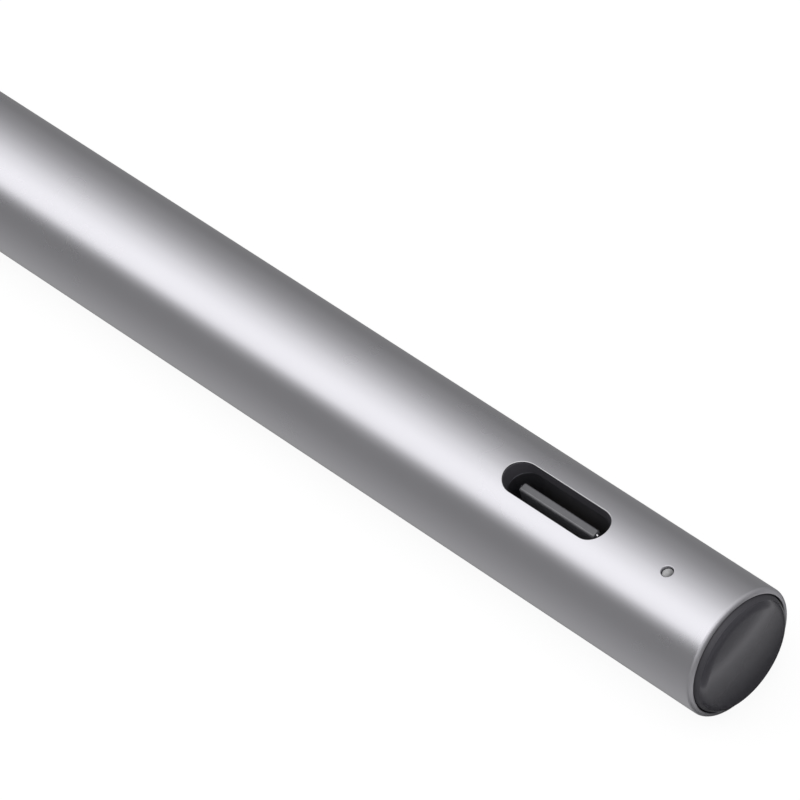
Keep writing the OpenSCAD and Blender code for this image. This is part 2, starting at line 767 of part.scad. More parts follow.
barrel_tube();
nose_cone();
nose_coupler();
nib();
nib_core();
nib_holder();
nib_spring();
force_sensor();
force_pad();
sensor_carrier();
tilt_ring();
tilt_wire();
front_chassis();
main_board();
controller_chip();
radio_chip();
driver_chip();
motion_sensor();
clock_crystal();
board_aerial();
board_passives();
board_screws();
upper_key();
lower_key();
key_frame();
key_switches();
upper_switch_pin();
lower_switch_pin();
battery_cell();
battery_sleeve();
battery_board();
battery_leads();
rear_foam_pad();
front_foam_pad();
link_strip();
rear_chassis();
port_board();
charge_chip();
port_passives();
port_shell();
port_base();
port_tongue();
port_contacts();
port_mid_plate();
port_liner();
light_lens();
light_chip();
tail_strip();
tail_cap();
tail_clip();
tail_spring();
tail_bush();
tail_switch();
tail_switch_pin();
tail_switch_board();
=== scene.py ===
import json
from math import asin, cos, degrees, pi, radians, sin, sqrt

import bpy
from mathutils import Matrix, Vector
from mathutils.geometry import delaunay_2d_cdt


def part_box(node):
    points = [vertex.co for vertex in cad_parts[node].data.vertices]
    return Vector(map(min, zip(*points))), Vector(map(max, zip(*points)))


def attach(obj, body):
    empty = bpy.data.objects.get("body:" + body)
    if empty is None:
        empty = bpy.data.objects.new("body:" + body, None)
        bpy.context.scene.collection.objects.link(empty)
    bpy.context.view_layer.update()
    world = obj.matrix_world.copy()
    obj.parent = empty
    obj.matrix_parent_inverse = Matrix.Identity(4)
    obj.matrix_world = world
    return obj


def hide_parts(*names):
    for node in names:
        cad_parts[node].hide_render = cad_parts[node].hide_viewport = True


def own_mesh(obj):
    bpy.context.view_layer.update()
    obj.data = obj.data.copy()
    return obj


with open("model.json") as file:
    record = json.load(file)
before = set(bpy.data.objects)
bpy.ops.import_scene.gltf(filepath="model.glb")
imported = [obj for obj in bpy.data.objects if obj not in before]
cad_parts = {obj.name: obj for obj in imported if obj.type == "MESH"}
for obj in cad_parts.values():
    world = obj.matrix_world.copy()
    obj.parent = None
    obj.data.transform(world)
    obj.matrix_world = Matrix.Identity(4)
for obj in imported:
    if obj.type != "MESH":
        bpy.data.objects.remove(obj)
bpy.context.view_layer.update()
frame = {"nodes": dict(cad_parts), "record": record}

bl_info = {
    "name": "Stylus pen",
    "version": (1, 0, 0),
    "blender": (4, 5, 0),
    "location": "3D View > Sidebar > Pen",
    "description": "Skin, port, light, keys, nose, nib, finishes and studio of a stylus pen",
    "category": "Object",
}


def box(node):
    """Lowest and highest corner of a CAD node, as vectors."""
    low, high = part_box(node)
    return Vector(low), Vector(high)


def middle(node):
    """Centre of a CAD node's box."""
    low, high = box(node)
    return (low + high) / 2


TAIL_X = box("barrel_tube")[0].x
FRONT_X = box("barrel_tube")[1].x
AXIS_Z = middle("barrel_tube").z
TUBE_R = AXIS_Z - box("barrel_tube")[0].z
BORE_R = AXIS_Z - box("nose_coupler")[0].z
TUBE_LENGTH = FRONT_X - TAIL_X

# Points round the tube, the tail cap, the nose cone, the nib and an outline in plan.
TUBE_STEPS, CAP_STEPS, NOSE_STEPS, NIB_STEPS, PLAN_STEPS = 144, 192, 160, 96, 96
# Gap between pieces that touch, and the wall of the receptacle's shell.
SLIP, SHELL_WALL = 0.00002, 0.0003


def extent(node):
    """A CAD node's place along the pen, length, width, and bottom and top above the axis."""
    low, high = box(node)
    return ((low.x + high.x) / 2, high.x - low.x, high.y - low.y, low.z - AXIS_Z,
            high.z - AXIS_Z)


def size(name, description, default):
    """A length that the user can change, in metres."""
    return bpy.props.FloatProperty(name=name, description=description, default=default,
                                   min=0, unit="LENGTH", subtype="DISTANCE", precision=6)


def colour(name, description, default):
    """A colour that the user can change."""
    return bpy.props.FloatVectorProperty(name=name, description=description, default=default,
                                         min=0, max=1, size=3, subtype="COLOR")


def number(name, description, default, top=1.0):
    """A plain number that the user can change."""
    return bpy.props.FloatProperty(name=name, description=description, default=default,
                                   min=0, max=top, precision=3)


class PenSizes(bpy.types.PropertyGroup):
    """Sizes of the pieces that show."""
    rim_round: size("Tail rim rounding", "Outer rounding of the tail rim", 0.0003)
    rim_step: size("Tail mouth step", "How much wider the tail mouth is than the bore", 0.00019)
    mouth_depth: size("Tail mouth depth", "How deep the wider tail mouth goes", 0.00205)
    cut_edge: size("Cut edge", "Rounded edge of the openings in the tube", 0.00005)
    front_edge: size("Front edge", "Chamfer at the joint of tube and nose", 0.00007)
    port_length: size("Port length", "Length of the port's opening", 0.00885)
    port_width: size("Port width", "Width of the port's opening", 0.0026)
    light_radius: size("Light hole", "Radius of the hole over the status light", 0.00043)
    key_length: size("Key length", "Length of a side key", 0.009)
    key_width: size("Key width", "Width of a side key", 0.0028)
    key_gap: size("Key gap", "Gap between a key and the tube", 0.00006)
    key_edge: size("Key edge", "Rounded edge of a key", 0.00012)
    cap_edge: size("Cap edge", "Rounding between the tail cap's dome and its side", 0.0009)
    cap_lean: bpy.props.FloatProperty(name="Cap lean", description="Lean of the dome where its "
                                      "rounding begins", default=radians(8), min=0.02,
                                      max=1, subtype="ANGLE")
    liner_skin: size("Liner skin", "Wall of the liner beside the receptacle", 0.00004)
    lip_sink: size("Liner lip", "How far the liner's lip is below the tube's surface", 0.0001)
    tongue_edge: size("Tongue edge", "Bevel at the tongue's front", 0.00012)


class PenColours(bpy.types.PropertyGroup):
    """Colours of the pieces that show."""
    barrel: colour("Barrel", "Anodised aluminium", (0.602, 0.596, 0.63))
    cap: colour("Tail cap", "Satin dark grey", (0.043, 0.042, 0.050))
    nose: colour("Nose and keys", "Matt moulded dark grey", (0.13, 0.13, 0.14))
    nib: colour("Nib", "Black acetal", (0.05, 0.05, 0.054))
    liner: colour("Port liner", "Matt black", (0.060, 0.058, 0.068))
    tongue: colour("Port tongue", "Dark moulded blade", (0.095, 0.095, 0.104))
    port_steel: colour("Port steel", "Drawn steel", (0.25, 0.25, 0.28))
    lens: colour("Light lens", "Frosted lens", (0.45, 0.45, 0.455))


class PenStudio(bpy.types.PropertyGroup):
    """Light and floor."""
    tent_level: number("Tent level", "Brightness of the soft tent", 1.0, 4.0)
    ambient: number("Ambient", "Brightness of the world", 0.3)
    floor_glow: number("Floor glow", "White that the floor shows by itself", 0.90)
    floor_tone: number("Floor tone", "Share of the floor's white that the light makes", 0.14)


# Meshes


class Skin:
    """Gathers faces, welds points that coincide, and keeps the normal that a corner should have.
    Each point has an edge mask: above nought for a bare edge and for painted light and shade,
    below it for a matt one."""

    def __init__(self):
        self.points, self.index, self.edge = [], {}, []
        self.faces, self.normals = [], []

    def point(self, place, edge=0.0):
        key = tuple(round(c * 1e8) for c in place)
        if key not in self.index:
            self.index[key] = len(self.points)
            self.points.append(tuple(place))
            self.edge.append(edge)
        i = self.index[key]
        self.edge[i] = max(self.edge[i], edge)
        return i

    def face(self, corners, normals=None, edges=None):
        ids = [self.point(c, e) for c, e in zip(corners, edges or (0.0,) * len(corners))]
        normals = list(normals) if normals else [(0.0, 0.0, 0.0)] * len(ids)
        kept = [k for k in range(len(ids)) if ids[k] != ids[k - 1]]
        if len(kept) > 2:
            self.faces.append([ids[k] for k in kept])
            self.normals += [tuple(normals[k]) for k in kept]

    def mesh(self, sharp=38.0):
        made = bpy.data.meshes.new("skin")
        made.from_pydata(self.points, [], self.faces)
        made.attributes.new("edge", "FLOAT", "POINT").data.foreach_set("value", self.edge)
        made.shade_smooth()
        made.set_sharp_from_angle(angle=radians(sharp))
        if any(n != (0.0, 0.0, 0.0) for n in self.normals):
            made.normals_split_custom_set(self.normals)
        made.validate()
        return made


def turns(count, start=-pi):
    """Angles once round, from underneath."""
    return [start + 2 * pi * j / count for j in range(count)]


def quarter(steps):
    """Angles from nought to a right one."""
    return [radians(90 * i / steps) for i in range(steps + 1)]


def ring(radius, depth, count=TUBE_STEPS):
    """Points round the pen's axis, from underneath through the far side to underneath again."""
    return [(TAIL_X + depth, radius * sin(a), AXIS_Z + radius * cos(a))
            for a in turns(count)]


def bridge(skin, first, second, normals=None, edges=(0.0, 0.0)):
    """A closed strip of faces between two rings with as many points. The edge mask is a number
    for each ring, or a function of a point."""
    count = len(first)
    for j in range(count):
        k = (j + 1) % count
        pair = normals and [normals[j], normals[k], normals[k], normals[j]]
        corners = [first[j], first[k], second[k], second[j]]
        masks = [edges[0], edges[0], edges[1], edges[1]]
        skin.face(corners, pair, [m(c) if callable(m) else m for m, c in zip(masks, corners)])


def turned(skin, profile, count=TUBE_STEPS, closed=False, edges=(), soft=()):
    """A solid of revolution about the pen's axis from (radius, depth) points: out over the tail
    side, along the outside to the front, and back. The strips numbered in edges are bare edges,
    and those in soft are matt ones."""
    rows = [ring(r, d, count) for r, d in profile]
    if closed:
        rows.append(rows[0])
    for k in range(len(rows) - 1):
        mask = 1.0 if k in edges else -1.0 if k in soft else 0.0
        bridge(skin, rows[k + 1], rows[k], edges=(mask, mask))


def arc(centre, radius, start, stop, steps):
    """(radius, depth) points on an arc in a half section."""
    angles = (radians(start + (stop - start) * i / steps) for i in range(steps + 1))
    return [(centre[0] + radius * cos(a), centre[1] + radius * sin(a)) for a in angles]


def obround(length, width, count=PLAN_STEPS):
    """Points of a flat outline with round ends, the same number for any size, anticlockwise."""
    half, r = (length - width) / 2, width / 2
    side = count // 4
    points = []
    for end in (1, -1):
        for i in range(side + 1):
            a = radians(-90 + 180 * i / side) + (0 if end > 0 else pi)
            points.append((end * half + r * cos(a), r * sin(a)))
        points += [(end * half * (1 - 2 * i / side), end * r) for i in range(1, side)]
    return points


def in_obround(x, y, length, width):
    """Whether a plan point lies inside an outline with round ends."""
    run = max(abs(x) - (length - width) / 2, 0)
    return run * run + y * y < width * width / 4


def disc(radius, count=PLAN_STEPS):
    """Points of a circle in plan, anticlockwise from the same place as an outline's."""
    return [(radius * cos(a), radius * sin(a))
            for a in turns(count, radians(-90))]


def rounded_box(length, width, corner, count=PLAN_STEPS):
    """Points of a rectangle with round corners, anticlockwise."""
    points, per = [], count // 4
    for sx, sy, start in ((1, -1, -90), (1, 1, 0), (-1, 1, 90), (-1, -1, 180)):
        cx, cy = sx * (length / 2 - corner), sy * (width / 2 - corner)
        for i in range(per):
            a = radians(start + 90 * i / (per - 1))
            points.append((cx + corner * cos(a), cy + corner * sin(a)))
    return points


def sheet(skin, grid, loops, spot, normal, keep, flip=False):
    """A triangulated sheet through grid points and round loops, laid on a surface."""
    points, edges = list(grid), []
    for loop in loops:
        first = len(points)
        points += loop
        edges += [(first + i, first + (i + 1) % len(loop)) for i in range(len(loop))]
    verts, _, faces, origin, _, _ = delaunay_2d_cdt([Vector(p) for p in points], edges, [],
                                                    0, 1e-9, True)
    flat = [points[o[0]] if o else tuple(v) for v, o in zip(verts, origin)]
    for face in faces:
        corners = [flat[i] for i in (reversed(face) if flip else face)]
        if keep(sum(c[0] for c in corners) / 3, sum(c[1] for c in corners) / 3):
            skin.face([spot(c) for c in corners], [normal(c) for c in corners])


def dome(radius):
    """Puts a plan point on the upper side of a cylinder round the pen's axis."""
    return lambda x, y: sqrt(radius * radius - y * y)


def lifted(outline, centre_x, height, drop=0.0):
    """An outline in plan, set at a place along the pen, and at a height above its axis or on a
    surface."""
    return [(centre_x + x, y, AXIS_Z + (height(x, y) if callable(height) else height) - drop)
            for x, y in outline]


def stack(centre_x, shape, *rows):
    """Outlines of one shape at a place along the pen, each from its sizes and its height."""
    return [lifted(shape(*sizes), centre_x, height) for *sizes, height in rows]


def rolled(x, length, width, radius, e, steps, way):
    """Outlines down a rounded edge on a cylinder: way is 1 round an opening, -1 round a key."""
    outs = [(way * 2 * (e - e * sin(a)), e * (1 - cos(a))) for a in quarter(steps)[1:]]
    return [lifted(obround(length + out, width + out), x, dome(radius), drop)
            for out, drop in outs]


def loft(skin, rows, closed=False, masks=None):
    """Strips between outlines, from the first to the last, with an edge mask for each."""
    rows = rows + [rows[0]] if closed else rows
    masks = masks or [0.0] * len(rows)
    for k in range(len(rows) - 1):
        bridge(skin, rows[k], rows[k + 1], edges=(masks[k], masks[k + 1]))


def lid(skin, outline, up=True, edge=0.0):
    """Closes an outline with a fan round its middle."""
    centre = sum((Vector(p) for p in outline), Vector()) / len(outline)
    for j in range(len(outline)):
        pair = [outline[j], outline[(j + 1) % len(outline)]]
        skin.face((pair if up else pair[::-1]) + [tuple(centre)], None, [edge] * 3)


def lofted(rows, masks=None, closed=False, edge=0.0, sharp=38.0):
    """A mesh between outlines: a closed ring, or a body with a lid at each end."""
    skin = Skin()
    if not closed:
        lid(skin, rows[0], up=False)
    loft(skin, rows, closed, masks)
    if not closed:
        lid(skin, rows[-1], edge=edge)
    return skin.mesh(sharp)


def spun(profile, count, **marks):
    """A mesh turned about the pen's axis."""
    skin = Skin()
    turned(skin, profile, count, **marks)
    return skin.mesh()


def piece(name, mesh, material, body, slot, *nodes):
    """Puts a mesh in the scene as a piece of the pen."""
    mesh.name = name
    mesh.materials.clear()
    mesh.materials.append(material)
    made = bpy.data.objects.new(name, mesh)
    bpy.context.scene.collection.objects.link(made)
    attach(made, body)
    if nodes:
        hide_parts(*nodes)
    return made


# Node trees


def wired(tree, kind, given=(), out=0, **settings):
    """An output of a new node. Its inputs, in order or by name, are values to set or the sockets
    that feed them. A node without outputs comes back itself."""
    made = tree.nodes.new(kind)
    for key, value in settings.items():
        setattr(made, key, value)
    for key, value in given.items() if isinstance(given, dict) else enumerate(given):
        if isinstance(value, bpy.types.NodeSocket):
            tree.links.new(value, made.inputs[key])
        else:
            made.inputs[key].default_value = value
    return made.outputs[out] if made.outputs else made


def reckon(tree, operation, *terms):
    """A sum of numbers and sockets."""
    return wired(tree, "ShaderNodeMath", terms, operation=operation)


def socket_kind(value):
    """The kind of socket that holds a value."""
    if isinstance(value, bpy.types.Material):
        return "NodeSocketMaterial"
    if isinstance(value, (int, float)):
        return "NodeSocketInt" if isinstance(value, int) else "NodeSocketFloat"
    return "NodeSocketColor" if len(value) == 4 else "NodeSocketVector"


def offer(tree, inputs):
    """Gives a node tree its named inputs, with their values as defaults."""
    for label, value in inputs.items():
        kind = socket_kind(value)
        socket = tree.interface.new_socket(label, in_out="INPUT", socket_type=kind)
        if kind != "NodeSocketMaterial":
            socket.default_value = value


def effect(name, output, **inputs):
    """Turns a function that builds nodes into one that gives a shader node group, built once. The
    group has one output, and its first input is the place on the object."""
    def wrap(build):
        def group():
            tree = bpy.data.node_groups.get(name)
            if tree is None:
                tree = bpy.data.node_groups.new(name, "ShaderNodeTree")
                offer(tree, {"Vector": (0.0, 0.0, 0.0), **inputs})
                kind = "NodeSocketColor" if output == "Color" else "NodeSocketFloat"
                tree.interface.new_socket(output, in_out="OUTPUT", socket_type=kind)
                made = build(tree, tree.nodes.new("NodeGroupInput").outputs)
                wired(tree, "NodeGroupOutput", [made])
            return tree
        return group
    return wrap


# Finishes


def noise(tree, given, detail, roughness=0.5, vector=None):
    """Noise at the place and scale that a group is given."""
    return wired(tree, "ShaderNodeTexNoise", {
        "Vector": vector or given["Vector"], "Scale": given["Scale"], "Detail": detail,
        "Roughness": roughness}, "Fac")


@effect("tone drift", "Color", Scale=200.0, Tone=(0.5, 0.5, 0.5, 1), Spread=0.1)
def tone_drift(tree, given):
    """A colour that drifts a little over the surface."""
    swing = reckon(tree, "SUBTRACT", noise(tree, given, 3.0), 0.5)
    spread = reckon(tree, "MULTIPLY_ADD", swing, given["Spread"], 1.0)
    return wired(tree, "ShaderNodeVectorMath", {0: given["Tone"], "Scale": spread},
                 operation="SCALE")


@effect("handling", "Roughness", Scale=150.0, Low=0.3, High=0.4)
def handling(tree, given):
    """Roughness that varies where the surface was handled."""
    return wired(tree, "ShaderNodeMapRange", (noise(tree, given, 4.0, 0.6), 0.3, 0.7,
                                              given["Low"], given["High"]))


@effect("grain", "Height", Scale=9000.0)
def grain(tree, given):
    """Height of a fine grain: blasted pits or moulded texture."""
    pits = wired(tree, "ShaderNodeTexVoronoi", {"Vector": given["Vector"],
                                                "Scale": given["Scale"]},
                 "Distance", feature="SMOOTH_F1")
    return reckon(tree, "MULTIPLY_ADD", pits, 0.6, noise(tree, given, 2.0, 0.7))


@effect("brushing", "Height", Scale=9000.0, Stretch=(0.05, 1.0, 1.0))
def brushing(tree, given):
    """Height of fine lines along one axis of the coordinates it is given."""
    stretch = wired(tree, "ShaderNodeVectorMath", (given["Vector"], given["Stretch"]),
                    operation="MULTIPLY")
    return noise(tree, given, 2.0, vector=stretch)


def edge_mask(tree):
    """The edge mask that a mesh carries: bare edges, and painted light and shade."""
    return wired(tree, "ShaderNodeAttribute", out="Fac", attribute_name="edge")


@effect("worn edge and painted light", "Mask", Scale=2500.0)
def worn_edge_and_painted_light(tree, given):
    """Mask of worn or cut edges and of painted light and shade, broken up a little."""
    span = wired(tree, "ShaderNodeMapRange", (noise(tree, given, 3.0), 0.25, 0.6, 0.7, 1.0))
    return reckon(tree, "MULTIPLY", edge_mask(tree), span)


@effect("matt edge", "Roughness", Plain=0.3, Matt=0.5)
def matt_edge(tree, given):
    """Roughness that rises where the edge mask is below nought."""
    span = wired(tree, "ShaderNodeMapRange", (edge_mask(tree), 0.0, -1.0, 0.0, 1.0))
    return wired(tree, "ShaderNodeMix", {0: span, 2: given["Plain"], 3: given["Matt"]},
                 data_type="FLOAT")


def placed(tree, group, coords, **inputs):
    """The output of an effect on the object's own coordinates."""
    return wired(tree, "ShaderNodeGroup", {"Vector": coords, **inputs}, node_tree=group())


def finish(name, tone, rough, metal=0.0, spread=0.05, drift=180.0, pits=7000.0, depth=1e-6,
           lines=None, edge_and_painted_tone=None, edge_rough=None, soft_rough=None, **plain):
    """A material: drifting colour, handled roughness, fine grain or lines, and an edge tone for
    bare edges and for painted light and shade.
    """
    made = bpy.data.materials.get(name)
    if made is not None:
        return made
    made = bpy.data.materials.new(name)
    made.use_nodes = True
    tree = made.node_tree
    coords = wired(tree, "ShaderNodeTexCoord", out="Object")
    tint = placed(tree, tone_drift, coords, Scale=drift, Tone=(*tone, 1), Spread=spread)
    polish = placed(tree, handling, coords, Scale=drift * 0.7, Low=rough[0], High=rough[1])
    if lines:
        relief = placed(tree, brushing, coords, Scale=pits, Stretch=lines)
    else:
        relief = placed(tree, grain, coords, Scale=pits)
    bump = wired(tree, "ShaderNodeBump", {"Strength": 1.0, "Distance": depth, "Height": relief})
    # The edge tone gives bare edges, and painted light and shade where the edge mask marks them.
    if edge_and_painted_tone:
        worn_and_painted = placed(tree, worn_edge_and_painted_light, coords)
        tint = wired(tree, "ShaderNodeMix", {0: worn_and_painted, 6: tint, 7: (*edge_and_painted_tone, 1)}, 2,
                     data_type="RGBA")
        polish = wired(tree, "ShaderNodeMix", {0: worn_and_painted, 2: polish, 3: edge_rough},
                       data_type="FLOAT")
    if soft_rough:
        polish = placed(tree, matt_edge, coords, Plain=polish, Matt=soft_rough)
    shader = tree.nodes["Principled BSDF"]
    for label, socket in (("Base Color", tint), ("Roughness", polish), ("Normal", bump)):
        tree.links.new(socket, shader.inputs[label])
    shader.inputs["Metallic"].default_value = metal
    for label, value in plain.items():
        shader.inputs[label.replace("_", " ")].default_value = value
    return made


def inner_finish(slot):
    """The finish of a slot that no modelled piece sets for itself."""
    tone = next(m["base_color"] for m in frame["record"]["materials"] if m["slot"] == slot)
    metals = {"brass": (0.28, 0.4), "gold": (0.2, 0.3), "steel": (0.3, 0.42),
              "spring": (0.2, 0.3), "screw": (0.3, 0.42), "sensor": (0.28, 0.4),
              "switch": (0.3, 0.4), "cell": (0.35, 0.48), "port_steel": (0.25, 0.38)}
    glossy = {"board": (0.22, 0.34), "sleeve": (0.18, 0.3), "lead": (0.35, 0.5),
              "strip": (0.25, 0.38), "chip": (0.5, 0.62)}
    if slot in metals:
        return finish(slot, tone, metals[slot], metal=1.0, lines=(0.08, 1.0, 1.0), depth=6e-7)
    if slot in glossy:
        return finish(slot, tone, glossy[slot], spread=0.12, depth=8e-7)
    return finish(slot, tone, (0.5, 0.68), spread=0.14, pits=5000.0, depth=2e-6)


# Pieces


def cut_outs(sizes):
    """The openings in the tube: place along the pen, length and width."""
    keys = [(middle(node).x, sizes.key_length + 2 * sizes.key_gap,
             sizes.key_width + 2 * sizes.key_gap) for node in ("upper_key", "lower_key")]
    port = (middle("port_shell").x, sizes.port_length, sizes.port_width)
    light = (middle("light_lens").x, 2 * sizes.light_radius, 2 * sizes.light_radius)
    return [light, port], keys


def tube_band(skin, radius, start, stop, cuts, grow, outward):
    """A stretch of the tube's outer or inner wall, with its openings. The plan is squeezed along
    the pen, for long triangles. Returns the loops round the openings."""
    squeeze, pace, clear = 0.25, 0.0008, 0.00009
    sign = 1 if outward else -1
    rows = max(2, round((stop - start) / pace))
    depths = [start + (stop - start) * i / rows for i in range(rows + 1)]

    def cut_at(depth, y, upper, margin):
        return upper and any(in_obround(TAIL_X + depth - x, y, length + 2 * margin,
                                        width + 2 * margin) for x, length, width in cuts)

    grid = [(d * squeeze, a * radius) for d in depths for a in turns(TUBE_STEPS) + [pi]
            if not cut_at(d, radius * sin(a), cos(a) > 0, grow + clear)]
    loops = [[((x + px - TAIL_X) * squeeze, radius * asin(py / radius))
              for px, py in obround(length + 2 * grow, width + 2 * grow)]
             for x, length, width in cuts]

    def spot(c):
        a = c[1] / radius
        if a > pi - 1e-6:
            a = -pi
        return (TAIL_X + c[0] / squeeze, radius * sin(a), AXIS_Z + radius * cos(a))

    def normal(c):
        return (0.0, sign * sin(c[1] / radius), sign * cos(c[1] / radius))

    def keep(u, v):
        return not cut_at(u / squeeze, radius * sin(v / radius),
                          cos(v / radius) > 0, grow - 1e-6)

    sheet(skin, grid, loops, spot, normal, keep, flip=not outward)
    return [[spot(c) for c in loop] for loop in loops]


def tube_wall(skin, radius, start, bands, grow, outward):
    """One wall of the tube: stretches with openings and plain ones between them. Returns the
    loop round each opening."""
    sign = 1 if outward else -1
    normals = [(0.0, sign * sin(a), sign * cos(a)) for a in turns(TUBE_STEPS)]
    loops = {}
    for stop, cuts in bands:
        if cuts:
            loops.update(zip(cuts, tube_band(skin, radius, start, stop, cuts, grow, outward)))
        else:
            ends = [ring(radius, start), ring(radius, stop)]
            bridge(skin, *(reversed(ends) if outward else ends), normals=normals)
        start = stop
    return loops


def opening_walls(skin, top, cut, e):
    """The rounded edge of one opening, bare but at the light. Returns the foot of the edge."""
    x, length, width = cut
    steps = 4
    rows = [top] + rolled(x, length, width, TUBE_R, e, steps, 1)
    bare = 0.0 if length == width else 1.0
    loft(skin, rows, masks=[0.0] + [bare] * (steps - 1) + [0.0])
    return rows[-1]


def barrel_skin(sizes):
    """The tube: rim, outer wall, openings, bore and front end, as one closed skin."""
    skin = Skin()
    tail_cuts, key_cuts = cut_outs(sizes)
    rim, front, mouth_r = sizes.rim_round, sizes.front_edge, BORE_R + sizes.rim_step
    tail_band, key_band_back, key_band_front = 0.021, 0.031, 0.006
    bands = [(tail_band, tail_cuts), (TUBE_LENGTH - key_band_back, []),
             (TUBE_LENGTH - key_band_front, key_cuts)]
    tops = tube_wall(skin, TUBE_R, rim, bands + [(TUBE_LENGTH - front, [])], sizes.cut_edge, True)
    feet = tube_wall(skin, BORE_R, sizes.mouth_depth, bands + [(TUBE_LENGTH, [])], 0.0, False)
    for cut, loop in tops.items():
        bridge(skin, opening_walls(skin, loop, cut, sizes.cut_edge), feet[cut])
    lip = 0.00003
    turned(skin, [(BORE_R, sizes.mouth_depth), (mouth_r, sizes.mouth_depth), (mouth_r, lip),
                  (mouth_r + lip, 0)])
    turned(skin, [(mouth_r + lip, 0)] + arc((TUBE_R - rim, rim), rim, -90, 0, 10),
           soft=range(10))
    turned(skin, [(TUBE_R, TUBE_LENGTH - front), (TUBE_R - front, TUBE_LENGTH),
                  (BORE_R, TUBE_LENGTH)])
    return skin.mesh()


def cap_mesh(sizes):
    """The tail cap: dome, rounded edge, hollow skirt and stem with its clip groove."""
    low, high = box("tail_cap")
    cap_r, proud, stem_end = AXIS_Z - low.z, TAIL_X - low.x, high.x - TAIL_X
    clip_start, clip_end = (corner.x - TAIL_X for corner in box("tail_clip"))
    roof = box("tail_spring")[0].x - TAIL_X - SLIP
    stem_r, groove, skirt, flat_r = 0.0016, 0.0003, 0.00075, 0.0004
    side_end, chamfer, steps = 0.00155, 0.0001, 24
    e, lean = sizes.cap_edge, sizes.cap_lean
    dome_r = (cap_r - e * (1 - sin(lean)) - flat_r) / sin(lean)
    profile = [(0, -proud), (flat_r / 2, -proud)]
    profile += [(flat_r + dome_r * sin(a), dome_r * (1 - cos(a)) - proud)
                for a in (lean * i / steps for i in range(steps + 1))]
    centre = (cap_r - e, profile[-1][1] + e * cos(lean))
    profile += arc(centre, e, degrees(lean) - 90, 0, steps)[1:]
    profile += [(cap_r, side_end), (cap_r - skirt, side_end), (cap_r - skirt, roof),
                (stem_r, roof), (stem_r, clip_start), (stem_r - groove, clip_start),
                (stem_r - groove, clip_end), (stem_r, clip_end), (stem_r, stem_end - chamfer),
                (stem_r - chamfer, stem_end), (0, stem_end)]
    bend = [k for k in range(len(profile) - 1)
            if profile[k][0] > cap_r - 0.3 * e and profile[k + 1][1] <= centre[1] + 1e-9]
    return spun(profile, CAP_STEPS, soft=bend)


def liner_mesh(sizes):
    """The liner: lip under the tube's surface, wall down to the receptacle, flange inside."""
    x = middle("port_shell").x
    _, flange_l, flange_w, bottom, _ = extent("port_liner")
    _, shell_l, shell_w, _, shell_top = extent("port_shell")
    out_l, out_w = sizes.port_length - SLIP, sizes.port_width - SLIP
    in_l, in_w = shell_l - 2 * SHELL_WALL - SLIP, out_w - 2 * sizes.liner_skin
    lip, seat, foot = dome(TUBE_R - sizes.lip_sink), dome(BORE_R - SLIP), shell_top + SLIP
    rows = stack(x, obround, (flange_l, flange_w, bottom), (flange_l, flange_w, seat),
                 (out_l, out_w, seat), (out_l, out_w, lip))
    for down in (0.03, 0.15, 0.4, 0.7, 1.0):
        inward = min(1.0, 0.12 + down)
        rows.append(lifted(obround(out_l + (in_l - out_l) * inward,
                                   out_w + (in_w - out_w) * inward),
                           x, lambda u, v: lip(u, v) + (foot - lip(u, v)) * down))
    well = (shell_l + 2 * SLIP, shell_w + 2 * SLIP)
    rows += stack(x, obround, (*well, foot), (*well, bottom))
    return lofted(rows, closed=True)


def shell_mesh():
    """The receptacle's drawn shell, with a rolled mouth."""
    x, length, width, bottom, top = extent("port_shell")
    e = 0.0001
    section = [(0, bottom)]
    section += [(e - e * cos(a), top - e + e * sin(a)) for a in quarter(4)]
    section += [(SHELL_WALL - e + e * sin(a), top - e + e * cos(a))
                for a in quarter(4)]
    section.append((SHELL_WALL, bottom))
    return lofted(stack(x, obround, *[(length - 2 * inward, width - 2 * inward, height)
                                      for inward, height in section]), closed=True)


def tongue_mesh(sizes):
    """The receptacle's blade on its thicker root, with a bevelled front. Painted light lightens
    its front face a little and the bevel on the side toward +Y fully."""
    x, length, root, bottom, top = extent("port_tongue")
    blade, root_h, e = 0.0007, 0.0012, sizes.tongue_edge
    root_corner, shoulder, step, plain = 0.00008, 0.0001, bottom + root_h, 0.3
    rows = stack(x, rounded_box,
                 (length, root, root_corner, bottom),
                 (length, root, root_corner, step - 0.6 * shoulder),
                 (length - shoulder, root - shoulder, 0.00006, step),
                 *[(length - a * e, blade - b * e, corner, height) for a, b, corner, height in (
                     (0, 0, 0.00012, step), (0, 0, 0.00012, top - 1.4 * e),
                     (0, 0.02, 0.00012, top - 1.3 * e), (0.3, 0.6, 0.0001, top - 0.7 * e),
                     (1.4, 1.8, 0.00008, top - 0.1 * e), (2, 2.3, 0.00006, top),
                     (2.2, 2.5, 0.00005, top))])

    # Edge mask of painted light: full on the bevel toward +Y, a share on the front face.
    def near(point):
        return 1.0 if point[1] > 0 else 0.0

    def lit(point):
        return plain + 0.5 * near(point)

    return lofted(rows, [0.0] * 7 + [near, lit, plain], edge=plain, sharp=50.0)


def mid_plate_mesh():
    """The steel plate in the tongue, with ears at its ends that catch the light. It stands higher
    than the CAD's, so that an ear shows."""
    x, length, width, bottom, top = extent("port_mid_plate")
    ramp, corner, higher = 0.0001, 0.00003, 0.00022
    top += higher
    return lofted(stack(x, rounded_box, (length, width, corner, bottom),
                        (length, width, corner, top - 2 * corner),
                        (length - 2 * ramp, width - corner, corner, top)))


